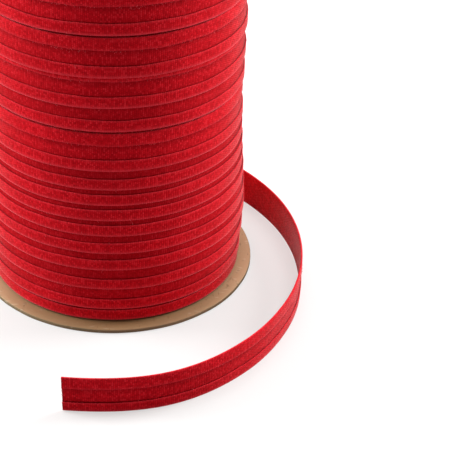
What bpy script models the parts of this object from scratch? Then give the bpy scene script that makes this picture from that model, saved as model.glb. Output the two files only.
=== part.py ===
"""Reel of folded-edge binding tape on a paperboard spool, for Blender 4.5.

The spool stands upright on its lower flange.  Its axis is +Z, and the origin is the
centre of the lower flange's underside.  All sizes are in metres.

    core_tube          spiral-wound paperboard tube, open from end to end
    lower_flange       chipboard disc under the winding
    upper_flange       the same disc on top
    tape_inner_layers  the layers of tape that lie under the outermost one
    tape_turn_01 ...   the exposed band of each turn of the outermost layer,
                       numbered from the lower flange upwards
    tape_tail          the free end: it leaves the topmost turn at the back, comes down
                       across the turns below, passes the lower flange's rim and stands
                       on its edge beside the reel
"""
import math

import bmesh
import bpy
from mathutils import Vector

MM = 0.001

# Spool
BORE_RADIUS = 25.4 * MM
CORE_WALL = 4.0 * MM
FLANGE_RADIUS = 68.5 * MM
FLANGE_THICKNESS = 2.0 * MM
FLANGE_EDGE_CHAMFER = 0.4 * MM
TRAVERSE = 188.0 * MM              # height between the two flanges

# Tape
TAPE_WIDTH = 19.05 * MM
TAPE_THICKNESS = 1.1 * MM          # folded, at the flaps
WINDING_RADIUS = 63.5 * MM
WINDER_PITCH = 12.0 * MM           # mean rise from one turn to the next
TURN_STEP = 0.5 * MM               # how far a band's top sits inside its folded foot

# Clearances
TOUCH_GAP = 0.3 * MM               # between pieces that touch on the real reel
EDGE_CLEARANCE = 1.15 * MM         # between the tape's edge and a flange

# Each turn of the outermost layer laps over the one below it.  From the lowest up: how far
# its rise to the next turn differs from the winder's pitch, and how far its folded foot
# swells out of, or sinks into, the winding radius, in millimetres.
TURN_VARIATION = (
    (-4.2, -1.7), (-1.0, -0.9), (-1.3, 0.0), (-2.5, 0.6), (-2.8, 0.3), (-3.1, -0.3),
    (-3.9, -0.8), (-4.1, -1.2), (-2.6, -1.5), (8.6, -1.4), (-0.9, -1.3), (3.1, -1.0),
    (7.4, -0.6), (6.0, -0.5), (0.0, -1.0),
)

# The tail's route: angle about the spool's axis in degrees, then the distance of the tape's
# middle outside the winding radius and the height of its middle, both in millimetres.
TAIL_ROUTE = (
    (205, 0.0, 179.3), (192, 0.5, 175.3), (178, 0.9, 163.0), (163, 1.2, 145.0),
    (148, 1.5, 125.0), (133, 1.9, 104.5), (118, 2.4, 84.0), (103, 3.5, 64.5),
    (88, 5.8, 46.5), (73, 9.8, 31.0), (58, 15.0, 18.8), (46, 18.8, 12.0), (36, 20.4, 9.8),
    (20, 21.9, 9.8), (0, 26.0, 9.8), (-20, 33.0, 9.8), (-40, 42.1, 9.8), (-60, 52.2, 9.8),
    (-80, 60.8, 9.8), (-100, 62.6, 9.8),
)
TAIL_STEPS = 4                     # stretches of tape between two points of the route

# Roundness
WINDING_FACETS = 48
FLANGE_FACETS = 72
MERGE_DISTANCE = 0.00001

# Finishes: colour, roughness, metallic
TAPE_RED = ((0.55, 0.02, 0.03), 0.85, 0.0)
KRAFT_BOARD = ((0.62, 0.47, 0.30), 0.80, 0.0)
CORE_BOARD = ((0.45, 0.33, 0.21), 0.85, 0.0)

# Sizes that follow from the ones above
CORE_RADIUS = BORE_RADIUS + CORE_WALL
UPPER_FLANGE_BASE = FLANGE_THICKNESS + TRAVERSE
WINDING_BASE = FLANGE_THICKNESS + EDGE_CLEARANCE
WINDING_TOP = UPPER_FLANGE_BASE - EDGE_CLEARANCE


def clear_scene():
    """Remove every object that the opened file holds."""
    for old_object in list(bpy.data.objects):
        bpy.data.objects.remove(old_object, do_unlink=True)


def make_collection(name):
    """Make a collection and put it in the scene."""
    collection = bpy.data.collections.new(name)
    bpy.context.scene.collection.children.link(collection)
    return collection


def make_material(name, finish):
    """Make a Principled material from a (colour, roughness, metallic) finish."""
    colour, roughness, metallic = finish
    material = bpy.data.materials.new(name)
    material.use_nodes = True
    shader = material.node_tree.nodes["Principled BSDF"]
    shader.inputs["Base Color"].default_value = (*colour, 1.0)
    shader.inputs["Roughness"].default_value = roughness
    shader.inputs["Metallic"].default_value = metallic
    material.diffuse_color = (*colour, 1.0)
    return material


def add_part(name, mesh, reel, finish, base=0.0):
    """Put a mesh in the reel as a named part, standing at height base."""
    part = bpy.data.objects.new(name, mesh)
    part.location = (0.0, 0.0, base)
    part.parent = reel["stand"]
    mesh.materials.append(make_material(name, finish))
    reel["collection"].objects.link(part)
    return part


def turned_part(name, profile, facets, reel, finish, base=0.0):
    """Turn a closed (radius, height) profile about the spool's axis.

    The profile runs down its outer side first, then back up its inner side.
    """
    mesh = bpy.data.meshes.new(name)
    outline = bmesh.new()
    corners = [outline.verts.new((radius, 0.0, height)) for radius, height in profile]
    for corner, next_corner in zip(corners, corners[1:] + corners[:1]):
        outline.edges.new((corner, next_corner))
    outline.to_mesh(mesh)
    outline.free()
    part = add_part(name, mesh, reel, finish, base)
    screw = part.modifiers.new("Turn", "SCREW")
    screw.axis = "Z"
    screw.angle = math.tau
    screw.steps = facets
    screw.render_steps = facets
    screw.use_merge_vertices = True
    screw.merge_threshold = MERGE_DISTANCE
    return part


def make_core_tube(reel):
    """The tube stands between the flanges, with its bore in line with their holes."""
    height = TRAVERSE - 2 * TOUCH_GAP
    profile = [
        (CORE_RADIUS, height), (CORE_RADIUS, 0.0),
        (BORE_RADIUS, 0.0), (BORE_RADIUS, height),
    ]
    base = FLANGE_THICKNESS + TOUCH_GAP
    turned_part("core_tube", profile, WINDING_FACETS, reel, CORE_BOARD, base)


def make_flange(name, base, reel):
    """A disc with a hole the size of the core's bore and a softened rim."""
    inset = FLANGE_RADIUS - FLANGE_EDGE_CHAMFER
    profile = [
        (inset, FLANGE_THICKNESS), (FLANGE_RADIUS, FLANGE_THICKNESS - FLANGE_EDGE_CHAMFER),
        (FLANGE_RADIUS, FLANGE_EDGE_CHAMFER), (inset, 0.0),
        (BORE_RADIUS, 0.0), (BORE_RADIUS, FLANGE_THICKNESS),
    ]
    turned_part(name, profile, FLANGE_FACETS, reel, KRAFT_BOARD, base)


def lay_turns():
    """Lay the outermost layer from the lower flange up.

    Returns a list of (foot height, top height, radius at the folded foot), one for each
    exposed band, which ends where the next turn laps over it or at the tape's own edge.
    """
    turns = []
    foot = WINDING_BASE
    while foot < WINDING_TOP - TAPE_WIDTH / 2:
        extra, swell = TURN_VARIATION[len(turns) % len(TURN_VARIATION)]
        next_foot = foot + WINDER_PITCH + extra * MM
        if next_foot > WINDING_TOP - TAPE_WIDTH / 2:
            next_foot = WINDING_TOP
        top = min(next_foot - TOUCH_GAP, foot + TAPE_WIDTH)
        turns.append((foot, top, WINDING_RADIUS + swell * MM))
        foot = next_foot
    return turns


def make_turns(turns, reel):
    """One ring for the exposed band of each turn, its folded foot proud."""
    for number, (foot, top, radius) in enumerate(turns, start=1):
        height = top - foot
        inner = radius - TURN_STEP - TAPE_THICKNESS
        profile = [
            (radius - TURN_STEP, height), (radius, 0.0),
            (inner, 0.0), (inner, height),
        ]
        turned_part(f"tape_turn_{number:02d}", profile, WINDING_FACETS, reel, TAPE_RED, foot)


def make_inner_layers(turns, reel):
    """The layers below the outermost one, a clearance inside every exposed band."""
    cover = TURN_STEP + TAPE_THICKNESS + TOUCH_GAP
    radii = [radius - cover for foot, top, radius in turns]
    outer_side = [(radii[0], WINDING_BASE)]
    for index in range(1, len(turns)):
        outer_side.append((min(radii[index - 1], radii[index]), turns[index][0]))
    outer_side.append((radii[-1], WINDING_TOP - TOUCH_GAP))
    outer_side.reverse()
    inner = CORE_RADIUS + TOUCH_GAP
    profile = outer_side + [(inner, WINDING_BASE), (inner, WINDING_TOP - TOUCH_GAP)]
    turned_part("tape_inner_layers", profile, WINDING_FACETS, reel, TAPE_RED)


def smooth_value(before, start, end, after, share):
    """Read a smooth curve through four values, a share of the way from start to end."""
    return 0.5 * (
        2 * start
        + (end - before) * share
        + (2 * before - 5 * start + 4 * end - after) * share ** 2
        + (3 * start - before - 3 * end + after) * share ** 3
    )


def tail_path():
    """The middle of the tail as points, from the last turn to the cut end."""
    first = [2 * a - b for a, b in zip(TAIL_ROUTE[0], TAIL_ROUTE[1])]
    last = [2 * a - b for a, b in zip(TAIL_ROUTE[-1], TAIL_ROUTE[-2])]
    route = [first, *TAIL_ROUTE, last]
    path = []
    for index in range(1, len(route) - 2):
        for step in range(TAIL_STEPS):
            near = route[index - 1:index + 3]
            path.append([smooth_value(*values, step / TAIL_STEPS) for values in zip(*near)])
    path.append(TAIL_ROUTE[-1])
    points = []
    for degrees, outside, height in path:
        angle = math.radians(degrees)
        radius = WINDING_RADIUS + outside * MM
        points.append(Vector((radius * math.cos(angle), radius * math.sin(angle), height * MM)))
    return points


def make_tail(reel):
    """A ribbon along the path, square to it and upright, then given its thickness."""
    mesh = bpy.data.meshes.new("tape_tail")
    ribbon = bmesh.new()
    path = tail_path()
    before, after = [path[0], *path[:-1]], [*path[1:], path[-1]]
    directions = [(end - start).normalized() for start, end in zip(before, after)]
    across = []
    for direction in directions:
        outward = Vector((-direction.y, direction.x, 0.0)).normalized()
        across.append(direction.cross(outward) * TAPE_WIDTH / 2)
    lower = [ribbon.verts.new(point - half) for point, half in zip(path, across)]
    edges = [ribbon.edges.new(pair) for pair in zip(lower, lower[1:])]
    bmesh.ops.extrude_edge_only(ribbon, edges=edges)
    raised = [corner for corner in ribbon.verts if corner not in lower]
    for corner, half in zip(raised, across):
        corner.co += 2 * half
    ribbon.to_mesh(mesh)
    ribbon.free()
    part = add_part("tape_tail", mesh, reel, TAPE_RED)
    solidify = part.modifiers.new("Thickness", "SOLIDIFY")
    solidify.thickness = TAPE_THICKNESS
    solidify.offset = 0.0


def main():
    """Build the reel."""
    clear_scene()
    reel = {
        "collection": make_collection("binding_tape_reel"),
        "stand": bpy.data.objects.new("reel_stand", None),
    }
    reel["collection"].objects.link(reel["stand"])
    make_core_tube(reel)
    make_flange("lower_flange", 0.0, reel)
    make_flange("upper_flange", UPPER_FLANGE_BASE, reel)
    turns = lay_turns()
    make_inner_layers(turns, reel)
    make_turns(turns, reel)
    make_tail(reel)


main()
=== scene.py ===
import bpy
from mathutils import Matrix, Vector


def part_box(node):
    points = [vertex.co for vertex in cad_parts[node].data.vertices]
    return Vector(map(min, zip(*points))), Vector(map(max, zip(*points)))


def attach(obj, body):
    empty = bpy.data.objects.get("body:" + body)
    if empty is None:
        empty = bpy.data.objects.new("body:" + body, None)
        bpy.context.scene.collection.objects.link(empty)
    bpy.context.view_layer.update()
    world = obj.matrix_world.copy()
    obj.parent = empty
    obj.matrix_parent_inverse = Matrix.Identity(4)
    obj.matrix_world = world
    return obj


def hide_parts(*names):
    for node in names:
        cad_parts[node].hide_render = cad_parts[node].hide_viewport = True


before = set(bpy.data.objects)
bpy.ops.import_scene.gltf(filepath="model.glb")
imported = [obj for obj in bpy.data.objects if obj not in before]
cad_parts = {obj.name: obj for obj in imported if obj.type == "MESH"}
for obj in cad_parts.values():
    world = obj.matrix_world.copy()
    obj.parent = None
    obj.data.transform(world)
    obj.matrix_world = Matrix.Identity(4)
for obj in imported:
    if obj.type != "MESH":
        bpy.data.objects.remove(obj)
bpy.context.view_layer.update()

import logging
import math
from dataclasses import dataclass, field
from enum import Enum
from typing import Callable, Dict, List, Sequence, Tuple

import bmesh
import bpy
import numpy as np
from mathutils import Matrix, Vector, noise

LOG = logging.getLogger("tape_reel")
MM = 0.001
BODY = "root"
WELD = 0.002 * MM

Point = Tuple[float, float, float]
Colour = Tuple[float, float, float, float]
Tree = bpy.types.NodeTree
Socket = bpy.types.NodeSocket
Material = bpy.types.Material
Mesh = bmesh.types.BMesh


# -------- small helpers


def ease(value: float) -> float:
    """Smooth step from 0 to 1 with level ends."""
    value = min(max(value, 0.0), 1.0)
    return value * value * (3.0 - 2.0 * value)


def blend(first: float, second: float, share: float) -> float:
    """Value between first and second."""
    return first + (second - first) * share


def wander(along: float, seed: float, wavelength: float) -> float:
    """Repeatable gentle drift from about -1 to 1.

    Args:
        along: distance along the tape, in metres.
        seed: which of many unrelated drifts.
        wavelength: length of one swing, in metres.
    """
    return noise.noise(Vector((along / wavelength, seed * 7.31, seed * 3.17))) * 1.6


def smooth_value(before: float, start: float, end: float, after: float, share: float) -> float:
    """Catmull-Rom value between start and end."""
    a = 3 * (start - end) + after - before
    b = 2 * before - 5 * start + 4 * end - after
    return start + share * (end - before + share * (b + share * a)) / 2


def new_object(name: str, shape: Mesh, materials: Sequence[Material]) -> bpy.types.Object:
    """Turn a bmesh into a named object at the origin and free it."""
    mesh = bpy.data.meshes.new(name)
    shape.to_mesh(mesh)
    shape.free()
    for material in materials:
        mesh.materials.append(material)
    piece = bpy.data.objects.new(name, mesh)
    bpy.context.scene.collection.objects.link(piece)
    return piece


def mark_sharp(shape: Mesh, degrees: float) -> None:
    """Smooth faces, with the edges that turn more than this kept crisp."""
    limit = math.radians(degrees)
    for face in shape.faces:
        face.smooth = True
    for edge in shape.edges:
        edge.smooth = len(edge.link_faces) == 2 and edge.calc_face_angle(0.0) < limit


def spin_ring(section: Sequence[Tuple[float, float]], steps: int) -> Mesh:
    """Spin a closed section of (radius, height) corners once round the axis."""
    shape = bmesh.new()
    corners = [shape.verts.new((radius, 0.0, height)) for radius, height in section]
    edges = [shape.edges.new(pair) for pair in zip(corners, corners[1:] + corners[:1])]
    bmesh.ops.spin(
        shape, geom=corners + edges, cent=(0, 0, 0), axis=(0, 0, 1),
        angle=2.0 * math.pi, steps=steps, use_merge=True,
    )
    bmesh.ops.remove_doubles(shape, verts=shape.verts, dist=WELD)
    bmesh.ops.recalc_face_normals(shape, faces=shape.faces)
    return shape


def report(piece: bpy.types.Object) -> None:
    """Log a finished piece."""
    LOG.info("%s: %d faces", piece.name, len(piece.data.polygons))


# -------- shader groups


class NodeGroup:
    """A shader node group that is built once, with named inputs and outputs."""

    def __init__(self, name: str) -> None:
        """Start an empty group with its input and output nodes."""
        self.tree = bpy.data.node_groups.new(name, "ShaderNodeTree")
        self.start = self.tree.nodes.new("NodeGroupInput")
        self.end = self.tree.nodes.new("NodeGroupOutput")

    def socket(self, name: str, kind: str, into: bool, default: object = None) -> None:
        """Add a socket; kind is Float, Vector or Color."""
        made = self.tree.interface.new_socket(
            name=name, in_out="INPUT" if into else "OUTPUT", socket_type=f"NodeSocket{kind}"
        )
        if default is not None:
            made.default_value = default

    def node(self, kind: str, **settings: object) -> bpy.types.Node:
        """Add a node and set its properties."""
        return add_node(self.tree, kind, **settings)

    def link(self, source: Socket, target: Socket) -> None:
        """Join two sockets."""
        self.tree.links.new(source, target)

    def maths(self, operation: str, *values: object, clamp: bool = False) -> Socket:
        """A Math node on sockets or numbers; returns its output."""
        return maths(self.tree, operation, *values, clamp=clamp)


def add_node(tree: Tree, kind: str, **settings: object) -> bpy.types.Node:
    """Add a node to a tree and set its properties."""
    node = tree.nodes.new(kind)
    for name, value in settings.items():
        setattr(node, name, value)
    return node


def maths(tree: Tree, operation: str, *values: object, clamp: bool = False) -> Socket:
    """A Math node whose inputs are sockets or numbers; returns its output."""
    node = add_node(tree, "ShaderNodeMath", operation=operation, use_clamp=clamp)
    for slot, value in zip(node.inputs, values):
        if isinstance(value, Socket):
            tree.links.new(value, slot)
        else:
            slot.default_value = value
    return node.outputs[0]


def mix_colour(tree: Tree, share: object, first: object, second: object) -> Socket:
    """A colour Mix node; each input is a socket or a value."""
    node = add_node(tree, "ShaderNodeMix", data_type="RGBA")
    for slot, value in ((node.inputs[0], share), (node.inputs[6], first), (node.inputs[7], second)):
        if isinstance(value, Socket):
            tree.links.new(value, slot)
        else:
            slot.default_value = value
    return node.outputs[2]


def ramp(tree: Tree, value: Socket, start: float, gain: float) -> Socket:
    """Rise by gain from 0, where the value passes start, and stop at 1."""
    return maths(tree, "MULTIPLY", maths(tree, "SUBTRACT", value, start), gain, clamp=True)


def noise_value(
    tree: Tree, vector: Socket, scale: float, detail: float = 2.0, stretch: Point = (1.0, 1.0, 1.0)
) -> Socket:
    """Noise that is stretched along some axes; returns its value, 0 to 1."""
    place = add_node(tree, "ShaderNodeMapping")
    place.inputs["Scale"].default_value = stretch
    tree.links.new(vector, place.inputs["Vector"])
    cloud = add_node(tree, "ShaderNodeTexNoise")
    cloud.inputs["Scale"].default_value = scale
    cloud.inputs["Detail"].default_value = detail
    tree.links.new(place.outputs[0], cloud.inputs["Vector"])
    return cloud.outputs["Fac"]


def ribbed_weave() -> Tree:
    """Plain weave with a rib across the tape.

    Inputs are the cloth's own coordinates in metres, and the rib and pick spacings.
    Outputs are the height of the yarns, the tone of each yarn with painted shade in the hollows between
    ribs, and the streaks that thick and thin yarns make.
    """
    group = NodeGroup("ribbed_weave")
    group.socket("Cloth", "Vector", True)
    group.socket("Rib spacing", "Float", True, 0.92 * MM)
    group.socket("Pick spacing", "Float", True, 0.50 * MM)
    for name in ("Height", "Yarn tone and rib shade", "Streak"):
        group.socket(name, "Float", False)
    tree = group.tree
    cloth = group.start.outputs["Cloth"]
    sway = noise_value(tree, cloth, 260.0, 1.0)
    sway = group.maths("MULTIPLY", group.maths("SUBTRACT", sway, 0.5), 0.5 * MM)
    split = group.node("ShaderNodeSeparateXYZ")
    group.link(cloth, split.inputs[0])
    swayed = group.maths("ADD", split.outputs[0], sway)
    along = group.maths("DIVIDE", swayed, group.start.outputs["Rib spacing"])
    across = group.maths("DIVIDE", split.outputs[1], group.start.outputs["Pick spacing"])
    rib = group.maths("ABSOLUTE", group.maths("SINE", group.maths("MULTIPLY", along, math.pi)))
    turn = group.maths("MULTIPLY", group.maths("FLOOR", along), math.pi)
    pick = group.maths("SINE", group.maths("ADD", group.maths("MULTIPLY", across, math.pi), turn))
    pick = group.maths("MULTIPLY", group.maths("ADD", pick, 1.0), 0.5)
    relief = group.maths("MULTIPLY", rib, group.maths("ADD", group.maths("MULTIPLY", pick, 0.4), 0.6))
    group.link(relief, group.end.inputs["Height"])
    cell = group.node("ShaderNodeTexWhiteNoise", noise_dimensions="2D")
    join = group.node("ShaderNodeCombineXYZ")
    group.link(group.maths("FLOOR", along), join.inputs[0])
    group.link(group.maths("FLOOR", group.maths("DIVIDE", across, 2.0)), join.inputs[1])
    group.link(join.outputs[0], cell.inputs["Vector"])
    # Each rib's random tone is mixed with its relief, so the hollows between ribs are darker: painted
    # shade.
    uneven = group.maths("MULTIPLY", cell.outputs["Value"], 1.3)
    shade = group.maths("MULTIPLY", group.maths("ADD", uneven, relief), 0.5)
    group.link(shade, group.end.inputs["Yarn tone and rib shade"])
    coarse = noise_value(tree, cloth, 1700.0, 2.0, (1.0, 0.35, 1.0))
    fine = noise_value(tree, cloth, 1300.0, 2.0, (0.35, 1.0, 1.0))
    streak = group.maths("ADD", group.maths("MULTIPLY", coarse, 0.65), group.maths("MULTIPLY", fine, 0.35))
    group.link(streak, group.end.inputs["Streak"])
    return tree


def board_fibres() -> Tree:
    """Pressed paper fibres: flecks, cloudy tone and a slight tooth.

    Input is a point on the piece in metres.  Outputs are a height, a cloudy tone, and
    masks for the dark and the pale flecks.
    """
    group = NodeGroup("board_fibres")
    group.socket("Point", "Vector", True)
    for name in ("Height", "Cloud", "Dark flecks", "Pale flecks"):
        group.socket(name, "Float", False)
    tree = group.tree
    point = group.start.outputs["Point"]
    tooth = noise_value(tree, point, 1400.0, 3.0)
    felt = noise_value(tree, point, 320.0, 3.0, (1.0, 0.4, 1.0))
    height = group.maths("ADD", group.maths("MULTIPLY", tooth, 0.5), group.maths("MULTIPLY", felt, 0.5))
    group.link(height, group.end.inputs["Height"])
    group.link(noise_value(tree, point, 45.0, 4.0), group.end.inputs["Cloud"])
    dark = group.maths("SUBTRACT", noise_value(tree, point, 750.0, 1.0, (1.0, 0.3, 1.0)), 0.66)
    group.link(group.maths("MULTIPLY", dark, 9.0, clamp=True), group.end.inputs["Dark flecks"])
    pale = group.maths("SUBTRACT", noise_value(tree, point, 620.0, 1.0, (0.35, 1.0, 1.0)), 0.64)
    group.link(group.maths("MULTIPLY", pale, 7.0, clamp=True), group.end.inputs["Pale flecks"])
    return tree


# -------- finishes


class Board(Enum):
    """Which of the spool's boards a finish is for."""

    FLANGE_FACE = "flange_face"
    FLANGE_EDGE = "flange_edge"
    TUBE_WALL = "tube_wall"


@dataclass(frozen=True)
class TapeFinish:
    """Red solution-dyed canvas: dyed yarn, paler fraying at the cut edges and wear on the folds, both with
    painted highlights, and painted shade in the pockets and on the covered base.
    """

    name: str = "red_canvas"
    yarn: Colour = (0.70, 0.004, 0.012, 1.0)
    shade: Colour = (0.30, 0.001, 0.004, 1.0)
    # lint is the paler colour of loose fibres, used also for painted highlights on the cut edges and folds.
    lint: Colour = (0.78, 0.045, 0.065, 1.0)
    # Painted shade for the slits beside the flaps' cut edges.
    pocket_shade: Colour = (0.14, 0.0, 0.002, 1.0)
    rib_height: float = 0.15 * MM
    roughness: float = 0.78
    sheen: float = 0.9
    sheen_tint: Colour = (1.0, 0.50, 0.50, 1.0)
    streak_share: float = 0.32
    yarn_share: float = 0.9

    def material(self, weave: Tree) -> Material:
        """Build the material on the tape's own map and edge attributes."""
        made = bpy.data.materials.new(self.name)
        made.use_nodes = True
        tree = made.node_tree
        skin = tree.nodes["Principled BSDF"]
        skin.inputs["Sheen Weight"].default_value = self.sheen
        skin.inputs["Sheen Roughness"].default_value = 0.25
        skin.inputs["Sheen Tint"].default_value = self.sheen_tint
        skin.inputs["Specular IOR Level"].default_value = 0.04
        cloth = add_node(tree, "ShaderNodeUVMap", uv_map="cloth")
        woven = add_node(tree, "ShaderNodeGroup", node_tree=weave)
        tree.links.new(cloth.outputs[0], woven.inputs["Cloth"])
        streak = ramp(tree, woven.outputs["Streak"], 0.34, 3.2)
        streak = maths(tree, "MULTIPLY", streak, self.streak_share)
        # The yarn tone carries painted shade in the hollows between ribs.
        tone = maths(tree, "ADD", streak, maths(tree, "MULTIPLY", woven.outputs["Yarn tone and rib shade"], self.yarn_share))
        colour = mix_colour(tree, tone, self.shade, self.yarn)
        speck = ramp(tree, woven.outputs["Yarn tone and rib shade"], 0.74, 1.2)
        colour = mix_colour(tree, speck, colour, self.lint)
        drift = noise_value(tree, cloth.outputs[0], 40.0, 3.0)
        dull = ramp(tree, drift, 0.35, 0.7)
        colour = mix_colour(tree, dull, colour, self.shade)
        # Marks from the edge attributes: the base mark darkens the base canvas, its own tone with painted
        # shade under covering turns; the pocket mark is painted shade; the fold and cut-edge marks lay
        # paler wear and fray together with painted highlights.
        for attribute, tint, strength in (
            ("base", self.shade, 0.50), ("pocket_shade", self.pocket_shade, 0.75),
            ("fold_wear_and_highlight", self.lint, 0.8), ("fray_and_highlight", self.lint, 0.45),
        ):
            mark = add_node(tree, "ShaderNodeAttribute", attribute_name=attribute)
            grain = maths(tree, "ADD", maths(tree, "MULTIPLY", woven.outputs["Streak"], 0.9), 0.35)
            amount = maths(tree, "MULTIPLY", mark.outputs["Fac"], strength)
            share = maths(tree, "MULTIPLY", amount, grain, clamp=True)
            colour = mix_colour(tree, share, colour, tint)
        tree.links.new(colour, skin.inputs["Base Color"])
        rough = maths(tree, "MULTIPLY", woven.outputs["Yarn tone and rib shade"], -0.12)
        rough = maths(tree, "ADD", rough, self.roughness + 0.06)
        tree.links.new(rough, skin.inputs["Roughness"])
        bump = add_node(tree, "ShaderNodeBump")
        bump.inputs["Strength"].default_value = 0.8
        bump.inputs["Distance"].default_value = self.rib_height
        tree.links.new(woven.outputs["Height"], bump.inputs["Height"])
        tree.links.new(bump.outputs[0], skin.inputs["Normal"])
        return made


@dataclass(frozen=True)
class ThreadFinish:
    """Loose yarn ends, paler than the cloth they come from."""

    name: str = "loose_yarn"
    colour: Colour = (0.70, 0.03, 0.05, 1.0)
    deep: Colour = (0.45, 0.01, 0.02, 1.0)

    def material(self) -> Material:
        """Build the material, with the tone changing from end to end."""
        made = bpy.data.materials.new(self.name)
        made.use_nodes = True
        tree = made.node_tree
        skin = tree.nodes["Principled BSDF"]
        skin.inputs["Roughness"].default_value = 0.6
        skin.inputs["Sheen Weight"].default_value = 0.1
        place = add_node(tree, "ShaderNodeTexCoord")
        cloud = noise_value(tree, place.outputs["Object"], 600.0)
        colour = mix_colour(tree, cloud, self.colour, self.deep)
        tree.links.new(colour, skin.inputs["Base Color"])
        return made


@dataclass(frozen=True)
class BoardFinish:
    """Kraft-coloured pressed board with flecks; ply lines, a spiral seam and painted shade are optional."""

    kind: Board
    tone: Colour
    deep: Colour
    roughness: float = 0.72
    tooth: float = 0.06 * MM
    ply_pitch: float = 0.0
    seam_pitch: float = 0.0
    # Strength and tint of painted shade on the board: darker towards the front of the disc and close to the
    # winding.
    painted_shade_amount: float = 0.0
    painted_shade_tint: Colour = (0.17, 0.085, 0.022, 1.0)
    dark_fleck: Colour = (0.16, 0.10, 0.055, 1.0)
    pale_fleck: Colour = (0.85, 0.74, 0.56, 1.0)
    ply_line: Colour = (0.20, 0.135, 0.08, 1.0)
    seam_line: Colour = (0.17, 0.11, 0.07, 1.0)

    def material(self, fibres: Tree) -> Material:
        """Build the material on the piece's own coordinates."""
        made = bpy.data.materials.new(self.kind.value)
        made.use_nodes = True
        tree = made.node_tree
        skin = tree.nodes["Principled BSDF"]
        skin.inputs["Specular IOR Level"].default_value = 0.3
        place = add_node(tree, "ShaderNodeTexCoord").outputs["Object"]
        pulp = add_node(tree, "ShaderNodeGroup", node_tree=fibres)
        tree.links.new(place, pulp.inputs["Point"])
        colour = mix_colour(tree, pulp.outputs["Cloud"], self.deep, self.tone)
        flecks = (("Dark flecks", 0.5, self.dark_fleck), ("Pale flecks", 0.35, self.pale_fleck))
        for mask, strength, tint in flecks:
            share = maths(tree, "MULTIPLY", pulp.outputs[mask], strength)
            colour = mix_colour(tree, share, colour, tint)
        height = pulp.outputs["Height"]
        # Painted shade, darker towards the front of the disc and close to the winding.
        if self.painted_shade_amount:
            colour = mix_colour(tree, self.painted_shade_share(tree, place), colour, self.painted_shade_tint)
        if self.ply_pitch:
            split = add_node(tree, "ShaderNodeSeparateXYZ")
            tree.links.new(place, split.inputs[0])
            waver = maths(tree, "MULTIPLY", noise_value(tree, place, 30.0), 0.25 * MM)
            level = maths(tree, "DIVIDE", maths(tree, "ADD", split.outputs[2], waver), self.ply_pitch)
            swing = maths(tree, "SINE", maths(tree, "MULTIPLY", level, math.pi))
            line = maths(tree, "POWER", maths(tree, "ABSOLUTE", swing), 0.4)
            share = maths(tree, "MULTIPLY", maths(tree, "SUBTRACT", 1.0, line), 0.75)
            colour = mix_colour(tree, share, colour, self.ply_line)
            height = maths(tree, "ADD", height, line)
        if self.seam_pitch:
            seam = spiral_seam(tree, place, self.seam_pitch)
            colour = mix_colour(tree, maths(tree, "MULTIPLY", seam, 0.7), colour, self.seam_line)
            height = maths(tree, "SUBTRACT", height, maths(tree, "MULTIPLY", seam, 2.0))
        tree.links.new(colour, skin.inputs["Base Color"])
        rough = maths(tree, "MULTIPLY", pulp.outputs["Cloud"], 0.15)
        tree.links.new(maths(tree, "ADD", rough, self.roughness - 0.07), skin.inputs["Roughness"])
        bump = add_node(tree, "ShaderNodeBump")
        bump.inputs["Strength"].default_value = 0.6
        bump.inputs["Distance"].default_value = self.tooth
        tree.links.new(height, bump.inputs["Height"])
        tree.links.new(bump.outputs[0], skin.inputs["Normal"])
        return made

    def painted_shade_share(self, tree: Tree, place: Socket) -> Socket:
        """Share of painted shade: more towards the front of the disc and close to the winding."""
        split = add_node(tree, "ShaderNodeSeparateXYZ")
        tree.links.new(place, split.inputs[0])
        side = maths(tree, "MULTIPLY", maths(tree, "ADD", split.outputs[1], 0.030), -28.0, clamp=True)
        squares = [maths(tree, "MULTIPLY", axis, axis) for axis in split.outputs[:2]]
        from_axis = maths(tree, "SQRT", maths(tree, "ADD", *squares))
        foot = maths(tree, "MULTIPLY", maths(tree, "SUBTRACT", 0.0672, from_axis), 200.0, clamp=True)
        share = maths(tree, "ADD", maths(tree, "MULTIPLY", side, 0.62), maths(tree, "MULTIPLY", foot, 0.25))
        return maths(tree, "MULTIPLY", share, self.painted_shade_amount, clamp=True)


def spiral_seam(tree: Tree, place: Socket, pitch: float) -> Socket:
    """Mask of the butt seam that climbs round a spiral-wound tube, 1 on the seam."""
    split = add_node(tree, "ShaderNodeSeparateXYZ")
    tree.links.new(place, split.inputs[0])
    turn = maths(tree, "DIVIDE", maths(tree, "ARCTAN2", split.outputs[1], split.outputs[0]), 2.0 * math.pi)
    climb = maths(tree, "ADD", maths(tree, "DIVIDE", split.outputs[2], pitch), turn)
    off = maths(tree, "ABSOLUTE", maths(tree, "SUBTRACT", maths(tree, "FRACT", climb), 0.5))
    return maths(tree, "SUBTRACT", 1.0, maths(tree, "DIVIDE", off, 0.012), clamp=True)


# -------- the folded tape


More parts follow.
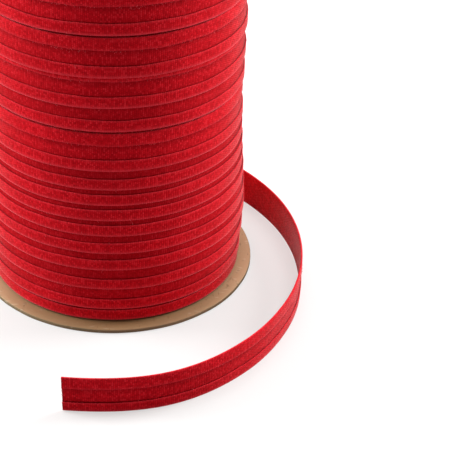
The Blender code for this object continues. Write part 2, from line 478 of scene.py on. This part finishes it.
@dataclass(frozen=True)
class FoldedTape:
    """The tape's section: a base of canvas with an edge folded over it from each side.

    Distances across run from the lower fold; depths run out from the back of the base.
    """

    width: float = 19.05 * MM
    canvas: float = 0.45 * MM
    thick: float = 0.95 * MM
    lower_flap: float = 5.7 * MM
    upper_flap: float = 6.05 * MM

    def outline(
        self, lower: float, upper: float, lift: float, rise: float, base_tone_and_shade: float
    ) -> List[Tuple[float, ...]]:
        """One section of the tape, once round.

        Args:
            lower: drift of the lower flap's cut edge, in metres.
            upper: drift of the upper flap's cut edge.
            lift: how far the lower flap's cut edge stands off the base.
            rise: the same for the upper flap.
            base_tone_and_shade: how much darker the base is than the flaps, 0 to 1: its own tone, with
                painted shade where a turn above covers it.

        Returns:
            (across, depth, fray_and_highlight, fold_wear_and_highlight, pocket_shade, base) for each
            corner.
        """
        w, c, t = self.width, self.canvas, self.thick
        e = self.lower_flap + lower
        f = w - self.upper_flap + upper
        mm = MM
        # g darkens the base canvas: its own tone, with painted shade where a turn above covers it.
        g = base_tone_and_shade
        # Corner marks: paler fray with painted highlights on the cut edges, paler wear with painted
        # highlights on the folds, painted shade in the slits by the cut edges, and the base share g.
        return [
            (w - 0.45 * mm, 0.0, 0, 0.1, 0, g), (w * 0.75, 0.0, 0, 0, 0, g), (w * 0.5, 0.0, 0, 0, 0, g),
            (w * 0.25, 0.0, 0, 0, 0, g), (0.45 * mm, 0.0, 0, 0.1, 0, g), (0.12 * mm, 0.14 * mm, 0, 1, 0, 0),
            (0.0, t * 0.5, 0, 1, 0, 0), (0.12 * mm, t - 0.14 * mm, 0, 1, 0, 0), (0.5 * mm, t, 0, 0.9, 0, 0),
            (1.5 * mm, t + 0.04 * mm, 0, 0.1, 0, 0), (e * 0.55, t + 0.04 * mm + lift * 0.3, 0, 0, 0, 0),
            (e - 1.1 * mm, t + lift * 0.75, 0, 0, 0, 0), (e - 0.25 * mm, t + lift, 0.6, 0, 0, 0),
            (e, t + lift - 0.08 * mm, 1, 0, 0, 0), (e, c + lift + 0.10 * mm, 0.5, 0, 0.2, 0),
            # Painted shade: these marks darken the slit under the lower flap's cut edge and the base beside
            # the upper flap's cut edge.
            (e - 0.7 * mm, c + 0.05 * mm + lift * 0.7, 0, 0, 1, 0),
            (e - 2.2 * mm, c + 0.03 * mm, 0, 0, 1, 0),
            (e - 0.6 * mm, c, 0, 0, 1, g), (e + 0.15 * mm, c, 0, 0, 1, g), (e + 0.6 * mm, c, 0, 0, 0.3, g),
            ((e + f) * 0.5, c, 0, 0, 0, g), (f - 0.5 * mm, c, 0, 0, 0.7, g), (f + 1.6 * mm, c, 0, 0, 1, g),
            (f + 0.6 * mm, c + 0.05 * mm + rise * 0.7, 0, 0, 1, 0),
            (f, c + rise + 0.12 * mm, 0.9, 0, 0.1, 0),
            (f - 0.05 * mm, t + rise - 0.06 * mm, 1, 0, 0, 0), (f + 0.25 * mm, t + rise, 0.55, 0, 0, 0),
            (f + 1.3 * mm, t + rise * 0.7, 0, 0, 0, 0), (w - 2.4 * mm, t + 0.03 * mm, 0, 0, 0, 0),
            (w - 0.5 * mm, t, 0, 0.1, 0, 0), (w - 0.12 * mm, t - 0.14 * mm, 0, 0.4, 0, 0),
            (w, t * 0.5, 0, 0.5, 0, 0), (w - 0.12 * mm, 0.14 * mm, 0, 0.6, 0, 0),
        ]

    def sweep(
        self,
        name: str,
        stations: int,
        section: Callable[[float], list],
        place: Callable[[float, float, float], Tuple[Point, float]],
        materials: Sequence[Material],
    ) -> bpy.types.Object:
        """Carry the section along a route as one closed piece.

        Args:
            name: the piece's name.
            stations: number of stretches along the route.
            section: gives the outline at a share of the route, 0 to 1.
            place: puts (share, across, depth) at a point, with its distance along.
            materials: what the piece is made of.

        Returns:
            The finished object, with its cloth map and its edge attributes.
        """
        corners = len(section(0.0))
        shape = bmesh.new()
        bmesh.ops.create_grid(shape, x_segments=stations, y_segments=corners, size=1.0)
        shape.verts.ensure_lookup_table()
        layers = [shape.verts.layers.float.new(n) for n in ("fray_and_highlight", "fold_wear_and_highlight", "pocket_shade", "base")]
        cloth = shape.loops.layers.uv.new("cloth")
        spots: Dict[int, Tuple[int, int]] = {}
        for corner in shape.verts:
            spots[corner.index] = (
                round((corner.co.x + 1.0) / 2.0 * stations),
                round((corner.co.y + 1.0) / 2.0 * corners),
            )
        outlines = [section(i / stations) for i in range(stations + 1)]
        lengths: Dict[int, float] = {}
        for corner in shape.verts:
            i, j = spots[corner.index]
            across, depth, *marks = outlines[i][j % corners]
            corner.co, lengths[i] = place(i / stations, across, depth)
            for layer, mark in zip(layers, marks):
                corner[layer] = mark
        for face in shape.faces:
            for loop in face.loops:
                i, j = spots[loop.vert.index]
                across = outlines[i][j % corners][0]
                loop[cloth].uv = (lengths[i], across)
        bmesh.ops.remove_doubles(shape, verts=shape.verts, dist=WELD)
        rim = [edge for edge in shape.edges if edge.is_boundary]
        bmesh.ops.holes_fill(shape, edges=rim, sides=0)
        bmesh.ops.recalc_face_normals(shape, faces=shape.faces)
        mark_sharp(shape, 62.0)
        return new_object(name, shape, materials)


TAPE = FoldedTape()


# -------- the wound turns


@dataclass
class Winding:
    """The outermost layer: one tape laid upwards, each turn lapping over the one below.

    Each turn is (height of its foot, radius at its folded foot, loosened top), in
    millimetres.  The tape runs clockwise seen from above, lies level round the front
    and steps up to its next turn round the back.
    """

    turns: Tuple[Tuple[float, float, float], ...] = (
        (3.0, 61.8, 0.0), (9.6, 62.6, 0.0), (21.6, 63.5, 0.0), (32.9, 64.1, 0.0),
        (41.8, 63.8, 0.0), (51.1, 63.2, 0.0), (58.9, 62.7, 0.0), (67.0, 62.3, 0.0),
        (75.0, 62.0, 0.0), (84.7, 62.1, 0.15), (104.95, 62.2, 0.0), (116.6, 62.5, 0.0),
        (131.7, 62.9, 0.3), (151.6, 63.0, 0.2), (169.9, 62.5, 0.25), (169.9, 62.5, 0.25),
    )
    rest_from: float = 370.0
    level_span: float = 200.0
    leaves_at: float = 205.0
    per_turn: int = 188
    covered_fall: float = 0.12
    shadow_gap: float = 0.30
    # Darkening of the base on a wide-open turn, as a share of the full darkening with painted shade on a
    # covered one.
    open_shade: float = 0.25
    seed: float = 2.0
    nominal_radius: float = 63.5
    feet: Dict[float, Tuple[float, float, float]] = field(default_factory=dict)

    def along(self, laid: float) -> float:
        """Distance along the tape after so many turns, in metres."""
        return laid * 2.0 * math.pi * self.nominal_radius * MM

    def end_turn(self) -> float:
        """Turns laid when the tape leaves the reel."""
        return len(self.turns) - 2 + (self.rest_from - self.leaves_at) / 360.0

    def foot(self, laid: float) -> Tuple[float, float, float]:
        """Height, radius and looseness of the foot after so many turns, worked out once."""
        if laid not in self.feet:
            self.feet[laid] = self.find_foot(laid)
        return self.feet[laid]

    def find_foot(self, laid: float) -> Tuple[float, float, float]:
        """Work out the foot's height, radius and looseness in millimetres."""
        last = len(self.turns) - 1
        laid = min(max(laid, 0.0), float(last))
        number = min(int(laid), last - 1)
        share = ease(((laid - number) * 360.0 - self.level_span) / (360.0 - self.level_span))
        low, high = self.turns[number], self.turns[number + 1]
        along = self.along(laid)
        height, radius, loose = (blend(a, b, share) for a, b in zip(low, high))
        height += 0.16 * wander(along, self.seed, 0.055) + 0.07 * wander(along, self.seed + 5, 0.013)
        radius += 0.10 * wander(along, self.seed + 9, 0.045)
        return height, radius, loose

    def back(self, laid: float, across: float) -> float:
        """Radius of the back of the tape, in millimetres, at a distance across it."""
        height, radius, loose = self.foot(laid)
        s = across / MM
        start = radius - TAPE.thick / MM
        if laid + 1.0 > self.end_turn():
            return start - 0.02 * s
        above, above_radius, _ = self.foot(laid + 1.0)
        pitch = above - height
        if pitch > TAPE.width / MM - 0.5:
            return start - 0.045 * s + loose * ease((s - 12.0) / 7.0)
        flap_from = (TAPE.width - TAPE.upper_flap) / MM
        lower = TAPE.lower_flap / MM
        skin = TAPE.thick if pitch > flap_from else TAPE.canvas
        target = above_radius - (TAPE.thick + skin) / MM - self.shadow_gap
        ledge = start - 0.12
        if s <= lower:
            return blend(start, ledge, s / lower)
        if s <= pitch:
            return blend(ledge, target, (s - lower) / (pitch - lower))
        drop = self.covered_fall * (s - pitch)
        if pitch <= flap_from:
            drop += 0.58 * ease((s - pitch) / max(flap_from - pitch, 0.8))
        return target - drop

    def section(self, share: float) -> list:
        """The tape's outline at a share of the whole winding."""
        laid = share * self.end_turn()
        along = self.along(laid)
        loose = self.foot(laid)[2]
        lower = (0.16 * wander(along, 11.0, 0.022) + 0.10 * wander(along, 12.0, 0.006)) * MM
        upper = (0.22 * wander(along, 13.0, 0.018) + 0.20 * wander(along, 14.0, 0.0052)) * MM
        lift = (0.16 + 0.10 * wander(along, 15.0, 0.03) + 0.2 * loose) * MM
        rise = (0.12 + 0.08 * wander(along, 16.0, 0.02)) * MM
        pitch = self.foot(laid + 1.0)[0] - self.foot(laid)[0]
        # Painted shade: the base is darkened fully where the turn above covers it, and less on a wide-open
        # turn.
        base_tone_and_shade = blend(1.0, self.open_shade, ease((pitch - 10.5) / 3.0))
        return TAPE.outline(lower, upper, lift, rise, base_tone_and_shade)

    def place(self, share: float, across: float, depth: float) -> Tuple[Point, float]:
        """Where a point of the section lies, and how far along the tape it is."""
        laid = share * self.end_turn()
        angle = math.radians(self.rest_from - 360.0 * laid)
        radius = self.back(laid, across) * MM + depth
        height = self.foot(laid)[0] * MM + across
        along = self.along(laid)
        return (radius * math.cos(angle), radius * math.sin(angle), height), along

    def build(self, canvas: Material) -> None:
        """Wind the tape as one continuous piece."""
        stations = round(self.per_turn * self.end_turn())
        piece = TAPE.sweep("tape_winding", stations, self.section, self.place, [canvas])
        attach(piece, BODY)
        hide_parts(*[f"tape_turn_{n:02d}" for n in range(1, 16)])
        report(piece)


@dataclass
class UnderLayers:
    """The earlier layers, seen only in the gaps: level bands of the same folded tape."""

    pitch: float = 9.4 * MM
    inner: float = 57.5 * MM
    deep: float = 60.5 * MM
    near_top: float = 61.1 * MM
    steps: int = 144

    def build(self, canvas: Material) -> None:
        """Spin the stacked bands about the spool's axis."""
        low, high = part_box("tape_inner_layers")
        shape = bmesh.new()
        profile = [(self.inner, high.z), (self.inner, low.z)]
        height = low.z
        while height < high.z - 1.0 * MM:
            top = min(height + self.pitch, high.z)
            out = self.near_top if height > 160.0 * MM else self.deep
            profile += [
                (out - 0.5 * MM, height), (out, height + 0.35 * MM),
                (out, min(height + 5.6 * MM, top)), (out - 0.5 * MM, min(height + 5.8 * MM, top)),
                (out - 0.9 * MM, top - 0.1 * MM),
            ]
            height = top
        profile.append((self.inner, high.z))
        corners = [shape.verts.new((radius, 0.0, z)) for radius, z in profile]
        edges = [shape.edges.new(pair) for pair in zip(corners, corners[1:]) if pair[0] != pair[1]]
        bmesh.ops.remove_doubles(shape, verts=shape.verts, dist=WELD)
        bmesh.ops.spin(
            shape, geom=list(shape.verts) + list(shape.edges), cent=(0, 0, 0), axis=(0, 0, 1),
            angle=2.0 * math.pi, steps=self.steps, use_merge=True,
        )
        bmesh.ops.remove_doubles(shape, verts=shape.verts, dist=WELD)
        bmesh.ops.recalc_face_normals(shape, faces=shape.faces)
        cloth = shape.loops.layers.uv.new("cloth")
        for face in shape.faces:
            middle = math.atan2(face.calc_center_median().y, face.calc_center_median().x)
            for loop in face.loops:
                angle = math.atan2(loop.vert.co.y, loop.vert.co.x)
                angle += 2.0 * math.pi * round((middle - angle) / (2.0 * math.pi))
                loop[cloth].uv = (angle * self.deep, loop.vert.co.z)
        mark_sharp(shape, 50.0)
        piece = new_object("tape_under_layers", shape, [canvas])
        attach(piece, BODY)
        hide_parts("tape_inner_layers")
        report(piece)


# -------- the free end


@dataclass
class FreeEnd:
    """The loose length of tape, from the topmost turn to its square-cut end.

    The route is the angle about the spool's axis in degrees, the distance of the tape's
    middle outside the winding radius and the height of its middle, in millimetres.
    """

    route: Tuple[Point, ...] = (
        (205, 0.0, 179.3), (192, 0.5, 175.3), (178, 0.9, 163.0), (163, 1.2, 145.0),
        (148, 1.5, 125.0), (133, 1.9, 104.5), (118, 2.4, 84.0), (103, 3.5, 64.5),
        (88, 5.8, 46.5), (73, 9.8, 31.0), (58, 15.0, 18.8), (46, 18.8, 12.0), (36, 20.4, 9.8),
        (20, 21.9, 9.8), (0, 26.0, 9.8), (-20, 33.0, 9.8), (-40, 42.1, 9.8),
        (-60, 52.5, 9.8), (-80, 61.3, 9.8), (-101.2, 63.3, 9.8),
    )
    winding_radius: float = 63.5 * MM
    stretches: int = 16
    stations: int = 380
    mid_depth: float = 0.5 * MM
    # How much the base is darkened on the free end, by the same mark that paints shade on the covered
    # strips of the winding.
    base_tone_and_shade: float = 0.05
    spots: List[Vector] = field(default_factory=list)
    along: List[float] = field(default_factory=list)

    def trace(self) -> None:
        """Work out the middle line of the tape and the distance along it."""
        first = [2 * a - b for a, b in zip(self.route[0], self.route[1])]
        last = [2 * a - b for a, b in zip(self.route[-1], self.route[-2])]
        line = [first, *self.route, last]
        values = []
        for index in range(1, len(line) - 2):
            near = line[index - 1:index + 3]
            values += [
                [smooth_value(*group, step / self.stretches) for group in zip(*near)]
                for step in range(self.stretches)
            ]
        values.append(self.route[-1])
        for degrees, outside, height in values:
            angle = math.radians(degrees)
            radius = self.winding_radius + outside * MM
            self.spots.append(Vector((radius * math.cos(angle), radius * math.sin(angle), height * MM)))
        self.along = [0.0]
        for start, end in zip(self.spots, self.spots[1:]):
            self.along.append(self.along[-1] + (end - start).length)

    def at(self, share: float) -> Tuple[Vector, Vector, float]:
        """Point, direction and distance at a share of the length."""
        wanted = share * self.along[-1]
        index = int(np.searchsorted(self.along, wanted, side="right")) - 1
        index = min(max(index, 0), len(self.spots) - 2)
        part = (wanted - self.along[index]) / (self.along[index + 1] - self.along[index])
        point = self.spots[index].lerp(self.spots[index + 1], part)
        before = self.spots[max(index - 1, 0)]
        after = self.spots[min(index + 2, len(self.spots) - 1)]
        near = (self.spots[index + 1] - before).normalized()
        far = (after - self.spots[index]).normalized()
        return point, near.lerp(far, part).normalized(), wanted

    def section(self, share: float) -> list:
        """The tape's outline, its flaps opening a little towards the cut end."""
        along = share * self.along[-1]
        lower = (-0.35 + 0.14 * wander(along, 31.0, 0.022) + 0.09 * wander(along, 32.0, 0.006)) * MM
        upper = (0.20 * wander(along, 33.0, 0.018) + 0.20 * wander(along, 34.0, 0.0052)) * MM
        spread = ease((share - 0.9) / 0.1)
        lift = (0.12 + 0.08 * wander(along, 35.0, 0.03) + 0.3 * spread) * MM
        rise = (0.14 + 0.08 * wander(along, 36.0, 0.02) + 0.15 * spread) * MM
        return TAPE.outline(lower, upper, lift, rise, self.base_tone_and_shade)

    def place(self, share: float, across: float, depth: float) -> Tuple[Point, float]:
        """Where a point of the section lies, and how far along the tape it is."""
        point, direction, along = self.at(share)
        outward = Vector((-direction.y, direction.x, 0.0)).normalized()
        upward = direction.cross(outward)
        lean = 0.035 * ease((share - 0.7) / 0.3) + 0.01 * wander(along, 41.0, 0.08)
        up = across - TAPE.width / 2.0
        wave = 0.25 * MM * wander(along, 42.0, 0.05) * ease(share * 6.0 - 0.5) * ease(9.0 - share * 9.0)
        out = depth - self.mid_depth + up * lean + wave
        spot = point + outward * out + upward * up
        return (spot.x, spot.y, spot.z), along

    def build(self, canvas: Material) -> None:
        self.trace()
        piece = TAPE.sweep("tape_free_end", self.stations, self.section, self.place, [canvas])
        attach(piece, BODY)
        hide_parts("tape_tail")
        path = [tuple(self.at(step / 120)[0]) for step in range(121)]
        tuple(path[0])
        LOG.info("free end: %.3f m", self.along[-1])
        report(piece)


# -------- loose yarns


@dataclass
class LooseYarns:
    """Loose yarn ends that stand out of the cut edges, hang from a few folds and knot up.

    Hanging yarns are (degrees, turn, across, drop) and tangles are (degrees, turn,
    across, number of yarns, length), with distances in millimetres.
    """

    winding: Winding
    tail: FreeEnd
    thickness: float = 0.07 * MM
    seed: int = 41
    hanging: Tuple[Tuple[float, int, float, float], ...] = (
        (-84.0, 6, 1.2, 3.2), (-95.0, 3, 1.6, 2.6), (-104.0, 5, 2.2, 2.4), (-107.0, 13, 1.6, 2.0),
    )
    tangles: Tuple[Tuple[float, int, float, int, float], ...] = (
        (-94.5, 10, 15.6, 16, 2.6), (-107.0, 13, 0.4, 6, 1.3),
        (-106.0, 12, 12.4, 6, 1.3), (-80.0, 13, 12.8, 7, 1.5),
    )

    def strand(self, shape: Mesh, points: Sequence[Vector]) -> None:
        """Extrude one three-sided yarn along its points."""
        ring = bmesh.ops.create_circle(shape, cap_ends=False, segments=3, radius=self.thickness)["verts"]
        start = points[1] - points[0]
        turn = start.to_track_quat("Z", "Y").to_matrix().to_4x4()
        bmesh.ops.transform(shape, matrix=Matrix.Translation(points[0]) @ turn, verts=ring)
        edges = list({edge for corner in ring for edge in corner.link_edges})
        first = list(edges)
        for here, there in zip(points, points[1:]):
            grown = bmesh.ops.extrude_edge_only(shape, edges=edges)["geom"]
            moved = [item for item in grown if isinstance(item, bmesh.types.BMVert)]
            edges = [item for item in grown if isinstance(item, bmesh.types.BMEdge)]
            bmesh.ops.translate(shape, verts=moved, vec=there - here)
        bmesh.ops.holes_fill(shape, edges=first + edges, sides=0)

    def reel_point(self, degrees: float, turn: int, across: float, proud: float) -> Vector:
        """A point on the face of a turn; across and proud are in millimetres."""
        laid = turn - 1 + (self.winding.rest_from - degrees) / 360.0
        spot, _ = self.winding.place(laid / self.winding.end_turn(), across * MM, proud * MM)
        return Vector(spot)

    def fray(self, shape: Mesh, draw: np.random.Generator, base: Vector, lead: Vector, size: float) -> None:
        """A short curled yarn end that starts at base and sets off along lead."""
        points = [base]
        heading = lead.normalized()
        for _ in range(4):
            heading = (heading + Vector(draw.normal(0.0, 0.45, 3))).normalized()
            points.append(points[-1] + heading * size / 4.0)
        self.strand(shape, points)

    def build(self, yarn: Material) -> None:
        """Scatter the yarn ends and join them as one piece."""
        draw = np.random.default_rng(self.seed)
        shape = bmesh.new()
        for turn, across in ((10, 13.0), (13, 12.8), (12, 12.9), (14, 12.9)):
            for degrees in draw.uniform(172.0, 366.0, 90):
                base = self.reel_point(degrees, turn, across + draw.normal(0.0, 0.12), 1.05)
                out = Vector((base.x, base.y, 0.0)).normalized()
                side = Vector((-out.y, out.x, 0.0)) * draw.normal(0.0, 0.6)
                lead = out * 0.25 + side + Vector((0, 0, draw.normal(-0.6, 0.5)))
                self.fray(shape, draw, base, lead, draw.uniform(0.35, 1.0) * MM)
        for turn in range(2, 15):
            for degrees in draw.uniform(175.0, 366.0, 9):
                base = self.reel_point(degrees, turn, draw.choice([0.1, 5.6]), 1.0)
                out = Vector((base.x, base.y, 0.0)).normalized()
                lead = out * 0.4 + Vector((0, 0, draw.normal(-0.5, 0.6)))
                self.fray(shape, draw, base, lead, draw.uniform(0.5, 1.6) * MM)
        for degrees, turn, across, drop in self.hanging:
            points = []
            for step in range(7):
                share = step / 6
                swing = 1.4 * math.sin(share * 2.6 + turn) * share
                level = max(across - drop * share, 0.2)
                at = self.reel_point(degrees + swing, turn, level, 1.2 + 0.15 * share)
                at.z = self.reel_point(degrees, turn, across, 1.2).z - drop * share * MM
                points.append(at)
            self.strand(shape, points)
        for degrees, turn, across, count, size in self.tangles:
            for _ in range(count):
                around = degrees + draw.normal(0.0, 1.0)
                base = self.reel_point(around, turn, across + draw.normal(0.0, 0.5), 1.1)
                lead = Vector((base.x, base.y, 0.0)).normalized() * 0.3 + Vector(draw.normal(0.0, 0.7, 3))
                self.fray(shape, draw, base, lead, size * draw.uniform(0.5, 1.0) * MM)
        for share in draw.uniform(0.42, 0.985, 110):
            upper = draw.random() < 0.7
            across = (13.0 if upper else 5.7) * MM + draw.normal(0.0, 0.1) * MM
            spot, _ = self.tail.place(share, across, 1.05 * MM)
            nearby, _ = self.tail.place(share, across, 2.05 * MM)
            out = (Vector(nearby) - Vector(spot)).normalized()
            lead = out * 0.3 + Vector((draw.normal(0, 0.5), draw.normal(0, 0.3), -0.5 if upper else 0.6))
            self.fray(shape, draw, Vector(spot), lead, draw.uniform(0.3, 0.9) * MM)
        for across in draw.uniform(0.3, 18.7, 46):
            spot, _ = self.tail.place(0.9995, across * MM, draw.uniform(0.1, 0.8) * MM)
            before, _ = self.tail.place(0.98, across * MM, 0.4 * MM)
            lead = (Vector(spot) - Vector(before)).normalized()
            self.fray(shape, draw, Vector(spot), lead, draw.uniform(0.3, 0.8) * MM)
        bmesh.ops.recalc_face_normals(shape, faces=shape.faces)
        for face in shape.faces:
            face.smooth = True
        piece = new_object("loose_yarns", shape, [yarn])
        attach(piece, BODY)
        report(piece)


# -------- the spool


@dataclass
class Flange:
    """A chipboard disc with a bore, its rim rounded off and a little bruised."""

    node: str
    name: str
    rim_round: float = 0.45 * MM
    bore_round: float = 0.2 * MM
    rim_scale: float = 68.5 * MM
    steps: int = 240
    seed: float = 1.0

    def build(self, face_board: Material, edge_board: Material) -> None:
        """Spin the disc's section, round its corners and bruise its rim."""
        low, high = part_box(self.node)
        radius = high.x
        bore = self.bore_radius()
        r = self.rim_round
        b = self.bore_round
        section = [
            (bore, low.z + b), (bore + b, low.z), (blend(bore, radius, 0.3), low.z),
            (blend(bore, radius, 0.6), low.z), (radius - 3.0 * MM, low.z), (radius - r, low.z),
            (radius - r * 0.3, low.z + r * 0.3), (radius, low.z + r),
            (radius + 0.02 * MM, (low.z + high.z) / 2.0), (radius, high.z - r),
            (radius - r * 0.3, high.z - r * 0.3), (radius - r, high.z), (radius - 3.0 * MM, high.z),
            (blend(bore, radius, 0.6), high.z), (blend(bore, radius, 0.3), high.z),
            (bore + b, high.z), (bore, high.z - b),
        ]
        shape = spin_ring(section, self.steps)
        for corner in shape.verts:
            flat = Vector((corner.co.x, corner.co.y, 0.0))
            if flat.length > radius - 1.0 * MM:
                angle = math.atan2(flat.y, flat.x)
                bruise = 0.10 * wander(angle * self.rim_scale, self.seed, 0.012)
                bruise += 0.05 * wander(angle * self.rim_scale, self.seed + corner.co.z * 900.0, 0.004)
                corner.co -= flat.normalized() * max(bruise, -0.03) * MM
        for face in shape.faces:
            level = abs(face.normal.z)
            face.material_index = 0 if level > 0.8 else 1
        mark_sharp(shape, 55.0)
        piece = new_object(self.name, shape, [face_board, edge_board])
        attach(piece, BODY)
        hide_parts(self.node)
        report(piece)

    def bore_radius(self) -> float:
        """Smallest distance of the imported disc's corners from the axis."""
        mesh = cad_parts[self.node].data
        return min(math.hypot(v.co.x, v.co.y) for v in mesh.vertices)


@dataclass
class CoreTube:
    """Spiral-wound paperboard tube, open right through, its ends cut square."""

    wall: float = 4.0 * MM
    steps: int = 160
    end_round: float = 0.25 * MM

    def build(self, wall_board: Material, edge_board: Material) -> None:
        """Spin the wall's section with softened corners."""
        low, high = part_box("core_tube")
        outer = high.x
        inner = outer - self.wall
        e = self.end_round
        section = [
            (inner, low.z + e), (inner + e, low.z), (outer - e, low.z), (outer, low.z + e),
            (outer, high.z - e), (outer - e, high.z), (inner + e, high.z), (inner, high.z - e),
            (inner, (low.z + high.z) / 2.0),
        ]
        shape = spin_ring(section, self.steps)
        for face in shape.faces:
            face.material_index = 1 if abs(face.normal.z) > 0.5 else 0
        mark_sharp(shape, 55.0)
        piece = new_object("core_board_tube", shape, [wall_board, edge_board])
        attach(piece, BODY)
        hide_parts("core_tube")
        report(piece)


# -------- studio


@dataclass(frozen=True)
class SoftLight:
    """A large soft light aimed at a point."""

    name: str
    place: Point
    aim: Point
    size: Tuple[float, float]
    power: float


@dataclass
class Studio:
    """White sweep, soft lights and the camera."""

    lights: Tuple[SoftLight, ...] = (
        SoftLight("overhead", (0.00, 0.34, 1.20), (0.0, 0.0, 0.05), (1.5, 1.2), 19.0),
        SoftLight("left_panel", (-1.05, 0.22, 0.45), (0.0, 0.0, 0.09), (0.5, 0.9), 19.0),
        SoftLight("front_fill", (0.00, -0.85, 0.25), (0.0, -0.08, 0.02), (0.8, 0.3), 0.75),
        SoftLight("right_panel", (1.05, 0.25, 0.45), (0.0, 0.0, 0.07), (0.5, 0.9), 20.0),
    )
    floor_size: float = 6.0
    sky: float = 0.30
    floor_glow: float = 0.53

    def build_floor(self) -> None:
        """A wide white table that carries no object of its own."""
        shape = bmesh.new()
        bmesh.ops.create_grid(shape, x_segments=2, y_segments=2, size=self.floor_size / 2.0)
        white = bpy.data.materials.new("white_table")
        white.use_nodes = True
        skin = white.node_tree.nodes["Principled BSDF"]
        skin.inputs["Base Color"].default_value = (0.34, 0.34, 0.34, 1.0)
        skin.inputs["Roughness"].default_value = 0.8
        skin.inputs["Specular IOR Level"].default_value = 0.1
        skin.inputs["Emission Color"].default_value = (1.0, 0.985, 0.97, 1.0)
        seen = add_node(white.node_tree, "ShaderNodeLightPath")
        glow = maths(white.node_tree, "MULTIPLY", seen.outputs["Is Camera Ray"], self.floor_glow)
        white.node_tree.links.new(glow, skin.inputs["Emission Strength"])
        floor = new_object("white_table", shape, [white])

    def build_lights(self) -> None:
        """Hang the soft lights and set the surroundings."""
        for light in self.lights:
            lamp = bpy.data.lights.new(light.name, "AREA")
            lamp.shape = "RECTANGLE"
            lamp.size, lamp.size_y = light.size
            lamp.energy = light.power
            holder = bpy.data.objects.new(light.name, lamp)
            aim = Vector(light.aim) - Vector(light.place)
            turn = aim.to_track_quat("-Z", "Y").to_matrix().to_4x4()
            holder.matrix_world = Matrix.Translation(light.place) @ turn
            bpy.context.scene.collection.objects.link(holder)
        world = bpy.data.worlds.new("white_room")
        world.use_nodes = True
        tree = world.node_tree
        back = tree.nodes["Background"]
        seen = add_node(tree, "ShaderNodeLightPath")
        extra = maths(tree, "MULTIPLY", seen.outputs["Is Camera Ray"], 1.0 - self.sky)
        level = maths(tree, "ADD", extra, self.sky)
        tree.links.new(level, back.inputs["Strength"])
        back.inputs["Color"].default_value = (1.0, 1.0, 1.0, 1.0)
        bpy.context.scene.world = world

    def build_camera(self) -> None:
        """Look down on the foot of the reel from in front."""
        place = Vector((0.0, -0.6458, 0.4329))
        yaw, pitch, roll = math.radians(5.36), math.radians(33.13), math.radians(1.96)
        level = math.cos(pitch)
        forward = Vector((math.sin(yaw) * level, math.cos(yaw) * level, -math.sin(pitch)))
        right = Vector((math.cos(yaw), -math.sin(yaw), 0.0))
        up = right.cross(forward)
        side = right * math.cos(roll) + up * math.sin(roll)
        top = -right * math.sin(roll) + up * math.cos(roll)
        turn = Matrix((side, top, -forward)).transposed().to_4x4()
        lens = bpy.data.cameras.new("studio_camera")
        lens.lens = 116.4
        lens.sensor_width = 36.0
        lens.clip_start, lens.clip_end = 0.05, 20.0
        camera = bpy.data.objects.new("studio_camera", lens)
        camera.matrix_world = Matrix.Translation(place) @ turn
        bpy.context.scene.collection.objects.link(camera)
        bpy.context.scene.camera = camera

    def build(self) -> None:
        """Set up everything that isn't the object."""
        self.build_camera()
        self.build_floor()
        self.build_lights()
        view = bpy.context.scene.view_settings
        view.view_transform = "Standard"
        view.look = "None"


# -------- the whole reel


def main() -> None:
    """Build the studio and the reel."""
    logging.basicConfig(level=logging.INFO, format="%(message)s")
    Studio().build()
    weave = ribbed_weave()
    fibres = board_fibres()
    canvas = TapeFinish().material(weave)
    # Both flange faces carry painted shade, darker towards the front and close to the winding.
    face_board = BoardFinish(
        Board.FLANGE_FACE, (0.54, 0.35, 0.20, 1.0), (0.44, 0.28, 0.15, 1.0), painted_shade_amount=1.0
    ).material(fibres)
    edge_board = BoardFinish(
        Board.FLANGE_EDGE, (0.25, 0.18, 0.095, 1.0), (0.18, 0.125, 0.065, 1.0),
        roughness=0.8, tooth=0.08 * MM, ply_pitch=0.5 * MM,
    ).material(fibres)
    wall_board = BoardFinish(
        Board.TUBE_WALL, (0.46, 0.34, 0.22, 1.0), (0.38, 0.27, 0.17, 1.0), seam_pitch=92.0 * MM
    ).material(fibres)
    tail = FreeEnd()
    tail.build(canvas)
    winding = Winding()
    winding.build(canvas)
    UnderLayers().build(canvas)
    LooseYarns(winding, tail).build(ThreadFinish().material())
    Flange("lower_flange", "lower_flange_board", seed=3.0).build(face_board, edge_board)
    Flange("upper_flange", "upper_flange_board", seed=8.0).build(face_board, edge_board)
    CoreTube().build(wall_board, edge_board)


if __name__ == "__main__":
    main()
